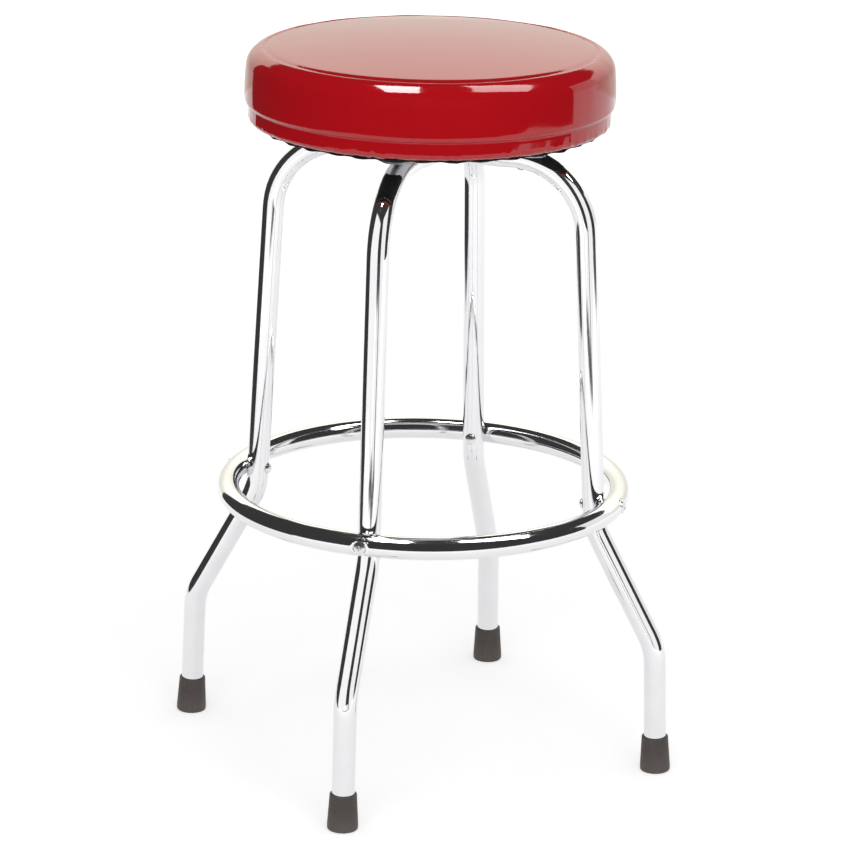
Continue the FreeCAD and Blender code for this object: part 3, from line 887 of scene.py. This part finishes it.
class Underside:
    """The black dust cloth stapled under the seat."""

    steps = 432
    staples = 36
    cloth = 0.6 * MM
    fold_width = 12 * MM
    turned_in = 12 * MM
    step_start = 138 * MM
    step_end = 146 * MM
    step_rise = 1.2 * MM

    def __init__(self, finisher: Finisher) -> None:
        """Take the cloth's sizes from the frame."""
        low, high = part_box("dust_cover")
        self.finisher = finisher
        self.radius = high.x
        self.low = low.z
        self.top = high.z

    def line(self) -> list[Point]:
        """Closed outline of the cloth, folded double at its rim."""
        raised = self.top - self.step_rise
        under = raised - self.cloth
        fold = self.radius - self.fold_width
        inner = [self.step_start * k / 12 for k in range(13)]
        lower = [(radius, self.top - self.cloth) for radius in inner]
        lower += [(self.step_end, under), (fold - 1 * MM, under), (fold, under - 1 * MM)]
        lower += [(fold + self.fold_width * k / 5, self.low) for k in range(1, 5)]
        lower += [(self.radius - 0.5 * MM, self.low), (self.radius, self.low + 0.6 * MM)]
        upper = [(self.radius, raised - 0.5 * MM), (self.radius - 0.5 * MM, raised)]
        upper += [(fold, raised), (self.step_end, raised)]
        upper += [(radius, self.top) for radius in reversed(inner)]
        return lower + upper

    def build(self) -> None:
        """Build the cloth with its slack between the staples."""
        mesh = spin_shell(self.line(), self.steps)
        for vert in mesh.verts:
            radius = math.hypot(vert.co.x, vert.co.y)
            angle = math.atan2(vert.co.y, vert.co.x)
            along = Vector((math.cos(angle), math.sin(angle), 0.0))
            edge = rounded_step(self.fold_width, radius - (self.radius - 14 * MM))
            between = 0.5 - 0.5 * math.cos(self.staples * angle + math.pi)
            slack = 0.5 + 0.5 * noise.noise(6 * along + Vector((0.0, 0.0, 2.0)))
            fold = noise.noise(24 * along + Vector((0.0, 0.0, radius * 60)))
            vert.co.z -= edge * (0.8 * MM + 1.8 * MM * between * slack + 0.6 * MM * max(0.0, fold))
            vert.co += edge * (1.5 * MM + 2.0 * MM * between * slack + 0.8 * MM * fold) * along
            drum = 0.5 * MM * noise.noise(Vector((vert.co.x * 22, vert.co.y * 22, 5.0)))
            vert.co.z += drum * (1 - edge) * rounded_step(30 * MM, radius - 100 * MM)
        piece = finish_mesh(mesh, "dust_cloth", 60.0)
        self.finisher.dress(piece, Slot.BLACK_CLOTH)
        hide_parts("dust_cover")
        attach(piece, SEAT_BODY)


class MetalAndRubber:
    """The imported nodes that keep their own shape: tubes, fasteners, swivel, board and feet."""

    weld_distance = 0.005 * MM
    slots = {
        Slot.CHROME_TUBE: ("leg_frame_lower", "leg_frame_upper", "foot_ring"),
        Slot.CHROME_FASTENERS: ("foot_ring_screws", "foot_ring_nuts", "leg_plate_screws"),
        Slot.FOOT_RUBBER: ("rubber_foot_rear_right", "rubber_foot_rear_left",
                           "rubber_foot_front_left", "rubber_foot_front_right"),
        Slot.ZINC_STEEL: ("foot_washers", "swivel_lower_plate", "swivel_lower_race",
                          "leg_plate_washers", "leg_plate_nuts", "swivel_upper_plate",
                          "swivel_upper_race", "seat_plate_screws"),
        Slot.BEARING_STEEL: ("swivel_balls",),
        Slot.CAGE_PLASTIC: ("ball_cage",),
        Slot.PLYWOOD: ("seat_board",),
        Slot.STAPLE_WIRE: ("hem_staples",),
    }

    def __init__(self, finisher: Finisher) -> None:
        """Keep the finisher."""
        self.finisher = finisher

    def smooth(self, node: bpy.types.Object, sharp_degrees: float = 32.0) -> None:
        """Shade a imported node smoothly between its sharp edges, with live modifiers."""
        for polygon in node.data.polygons:
            polygon.use_smooth = True
        weld = node.modifiers.new("weld", "WELD")
        weld.merge_threshold = self.weld_distance
        split = node.modifiers.new("sharp_edges", "EDGE_SPLIT")
        split.split_angle = math.radians(sharp_degrees)

    def build(self) -> None:
        """Dress every node that isn't replaced."""
        for slot, names in self.slots.items():
            for name in names:
                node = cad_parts[name]
                self.smooth(node)
                self.finisher.dress(node, slot)
                log.info("%s: %s", name, slot.value)
        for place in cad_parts["foot_ring"].material_slots:
            place.material = self.finisher.ring_material


# The studio


@dataclass(frozen=True)
class Viewpoint:
    """The camera that took the picture, set about the stool's axis."""

    azimuth: float = math.radians(-28.22)
    distance: float = 3.6709
    height: float = 1.4639
    sideways: float = 0.0092
    pan: float = math.radians(-0.152)
    tilt: float = math.radians(17.088)
    roll: float = math.radians(1.003)
    lens_mm: float = 163.73
    sensor_mm: float = 36.0

    def turn(self) -> Matrix:
        """Turn from the camera's own axes, +Y away from it, to the stool's."""
        return Matrix.Rotation(self.azimuth, 4, "Z")

    def build(self) -> None:
        """Make the camera and set it as the scene's."""
        ahead = Vector((math.sin(self.pan) * math.cos(self.tilt),
                        math.cos(self.pan) * math.cos(self.tilt), -math.sin(self.tilt)))
        level = ahead.cross(Vector((0, 0, 1))).normalized()
        upright = level.cross(ahead)
        right = level * math.cos(self.roll) + upright * math.sin(self.roll)
        up = upright * math.cos(self.roll) - level * math.sin(self.roll)
        turned = Matrix((right, up, -ahead)).transposed().to_4x4()
        place = Matrix.Translation((self.sideways, -self.distance, self.height))
        data = bpy.data.cameras.new("camera")
        data.lens = self.lens_mm
        data.sensor_width = self.sensor_mm
        data.clip_end = 50.0
        camera = bpy.data.objects.new("camera", data)
        camera.matrix_world = self.turn() @ place @ turned
        bpy.context.scene.collection.objects.link(camera)
        bpy.context.scene.camera = camera


@dataclass
class Studio:
    """White floor and walls, soft lamps, and the dark flags that chrome and vinyl mirror.

    Places are given in the camera's axes: across, away and up, from the stool's foot.
    """

    view: Viewpoint
    floor_colour: float = 0.80
    floor_reach: float = 14.0
    near_lift: float = 0.46
    far_lift: float = 0.85
    lift_radii: Point = (0.5, 3.0)
    ambient: float = 0.45
    flag_level: float = 0.045
    backdrop_tint: Colour = (1.0, 0.975, 0.87)

    def seen(self, tree: NodeTree) -> bpy.types.NodeSocket:
        """1 for rays that show the background: from the camera, mirrored or passed through."""
        path = tree.put("ShaderNodeLightPath").outputs
        shown = tree.math("MAXIMUM", path["Is Camera Ray"], path["Is Glossy Ray"])
        return tree.math("MAXIMUM", shown, path["Is Transmission Ray"])

    def emission(self, name: str, strength: float, tint: Colour = (1.0, 1.0, 1.0),
                 heights: Point | None = None, top_strength: float = 1.0) -> bpy.types.Material:
        """Make a glowing material.

        Args:
            name: The material's name.
            strength: How bright it is, where 1 is white.
            tint: Its colour.
            heights: The heights between which its strength rises, or None.
            top_strength: Its strength at the upper one of those heights.

        Returns:
            The material.
        """
        material = bpy.data.materials.new(name)
        material.use_nodes = True
        tree = NodeTree(material.node_tree)
        tree.nodes.clear()
        level = strength
        if heights is not None:
            place = tree.put("ShaderNodeTexCoord").outputs["Object"]
            height = tree.put("ShaderNodeSeparateXYZ", {0: place}).outputs["Z"]
            level = tree.span(height, strength, top_strength, *heights)
        glow = tree.put("ShaderNodeEmission", {"Color": tint, "Strength": level})
        tree.put("ShaderNodeOutputMaterial", {"Surface": glow.outputs[0]})
        return material

    def world(self) -> None:
        """Light the scene softly from all sides, with a white background."""
        world = bpy.data.worlds.new("studio")
        world.use_nodes = True
        bpy.context.scene.world = world
        tree = NodeTree(world.node_tree)
        background = tree.nodes["Background"]
        tree.feed(background.inputs["Color"], (1.0, 1.0, 1.0))
        tree.feed(background.inputs["Strength"], tree.span(self.seen(tree), self.ambient, 1.0))

    def floor(self) -> None:
        """Lay a white floor that keeps the stool's shadow and turns plain white further off."""
        mesh = bmesh.new()
        bmesh.ops.create_grid(mesh, x_segments=1, y_segments=1, size=self.floor_reach)
        floor = finish_mesh(mesh, "floor")
        material = bpy.data.materials.new("floor_white")
        material.use_nodes = True
        tree = NodeTree(material.node_tree)
        tree.nodes.clear()
        paper = tree.put("ShaderNodeBsdfDiffuse", {"Color": (self.floor_colour,) * 3})
        place = tree.put("ShaderNodeTexCoord").outputs["Object"]
        away = tree.put("ShaderNodeVectorMath", {0: place}, operation="LENGTH").outputs["Value"]
        lift = tree.span(away, self.near_lift, self.far_lift, *self.lift_radii)
        glow = tree.put("ShaderNodeEmission", {
            "Strength": tree.math("MULTIPLY", self.seen(tree), lift)})
        both = tree.put("ShaderNodeAddShader", {0: paper.outputs[0], 1: glow.outputs[0]})
        tree.put("ShaderNodeOutputMaterial", {"Surface": both.outputs[0]})
        floor.data.materials.append(material)

    def card(self, name: str, corners: Iterable[Sequence[float]], material: bpy.types.Material) -> None:
        """Hang a flat card that only mirrored rays see.

        Args:
            name: The card's name.
            corners: Its corners.
            material: Its material.
        """
        mesh = bmesh.new()
        mesh.faces.new([mesh.verts.new(self.view.turn() @ Vector(corner)) for corner in corners])
        card = finish_mesh(mesh, name)
        card.data.materials.append(material)
        card.visible_camera = False
        card.visible_diffuse = False
        card.visible_transmission = False
        card.visible_shadow = False

    def upright(self, name: str, start: Point, end: Point, heights: Point,
                material: bpy.types.Material) -> None:
        """Stand an upright card between two floor places, from one height to another."""
        low, high = heights
        self.card(name, [(*start, low), (*end, low), (*end, high), (*start, high)], material)

    def flat(self, name: str, near: Point, far: Point, height: float,
             material: bpy.types.Material) -> None:
        """Lay a level card between two opposite corners."""
        self.card(name, [(near[0], near[1], height), (far[0], near[1], height),
                         (far[0], far[1], height), (near[0], far[1], height)], material)

    def flags(self) -> None:
        """Hang dark flags past the white sheet's edges and over the lamps."""
        dark = self.emission("flag_dark", self.flag_level)
        for name, start, end, top in (
            ("flag_left", (-1.15, -0.45), (-1.15, 1.22), 1.7),
            ("flag_far_left", (-3.2, -3.4), (-2.9, -0.3), 3.4),
            ("flag_front", (-3.3, -3.4), (3.3, -3.4), 3.6),
            ("flag_right", (3.0, -3.4), (2.9, 0.30), 2.2),
        ):
            self.upright(name, start, end, (0.0, top), dark)
        for name, near, far, height in (
            ("flag_floor", (-3.3, -6.0), (3.3, -1.6), 0.004),
            ("flag_floor_left", (-3.3, -1.6), (-1.6, -0.3), 0.004),
            ("flag_roof", (-4.0, -4.0), (4.0, 2.8), 2.4),
        ):
            self.flat(name, near, far, height, dark)

    def backdrop(self) -> None:
        """Hang the backdrop that the seat's top mirrors, brighter towards its upper edge."""
        glow = self.emission("backdrop_glow", 0.95, self.backdrop_tint, (0.75, 2.35), 1.85)
        self.upright("backdrop", (-4.5, 3.0), (4.5, 3.0), (0.0, 2.6), glow)

    def lamp(self, name: str, place: Sequence[float], aim: Sequence[float],
             size: tuple[float, float], radiance: float, mirrored: bool = True,
             only: bpy.types.Collection | None = None) -> None:
        """Hang a rectangular soft lamp.

        Args:
            name: The lamp's name.
            place: Its centre.
            aim: The point that it faces.
            size: Its width and height.
            radiance: How bright its face is, where 1 is white.
            mirrored: Whether chrome and vinyl show it.
            only: The pieces that it lights, or None for all.
        """
        data = bpy.data.lights.new(name, "AREA")
        data.shape = "RECTANGLE"
        data.size, data.size_y = size
        data.energy = 4.0 * radiance * size[0] * size[1]
        lamp = bpy.data.objects.new(name, data)
        start, end = (self.view.turn() @ Vector(spot) for spot in (place, aim))
        turned = (end - start).to_track_quat("-Z", "Y").to_matrix().to_4x4()
        lamp.matrix_world = Matrix.Translation(start) @ turned
        lamp.visible_glossy = mirrored
        if only is not None:
            lamp.light_linking.receiver_collection = only
        bpy.context.scene.collection.objects.link(lamp)

    def lamps(self) -> None:
        """Hang two mirrored soft boxes, the lamps that light, and panels for the legs."""
        ceiling = 2.35
        for name, radiance, corners in (
            ("softbox_left", 20.0, ((-0.46, 0.30), (-0.10, 0.38), (-0.20, -0.95), (-0.72, -0.95))),
            ("softbox_right", 7.5, ((0.20, 0.70), (1.00, 0.45), (2.00, -0.70), (0.52, -0.65))),
        ):
            glow = self.emission(name, radiance)
            self.card(name, [(*corner, ceiling) for corner in corners], glow)
        self.lamp("key_top", (0.2, 0.0, 2.3), (0.0, 0.0, 0.0), (1.4, 1.4), 1.0, mirrored=False)
        self.lamp("fill_front", (0.1, -3.2, 1.6), (0.0, 0.0, 0.5), (4.4, 2.0), 1.9, mirrored=False)
        legs = bpy.data.collections.new("legs")
        for name in ("leg_frame_lower", "leg_frame_upper"):
            legs.objects.link(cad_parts[name])
        for name, place, size, radiance in (
            ("panel_left", (-1.04, -1.17, 1.0), (2.45, 1.95), 0.9),
            ("panel_right", (1.20, -1.30, 1.0), (1.25, 1.95), 0.85),
            ("panel_low", (0.20, -2.0, 0.13), (0.9, 0.26), 0.9),
        ):
            self.lamp(name, place, (0.0, 0.0, place[2]), size, radiance, only=legs)

    def build(self) -> None:
        """Set up the whole studio."""
        self.world()
        self.floor()
        self.backdrop()
        self.flags()
        self.lamps()


def main() -> None:
    """Build the stool's looks and the studio around it."""
    bpy.context.scene.view_settings.view_transform = "Standard"
    finisher = Finisher()
    view = Viewpoint()
    view.build()
    MetalAndRubber(finisher).build()
    Cushion(finisher).build()
    Underside(finisher).build()
    Studio(view).build()


if __name__ == "__main__":
    main()
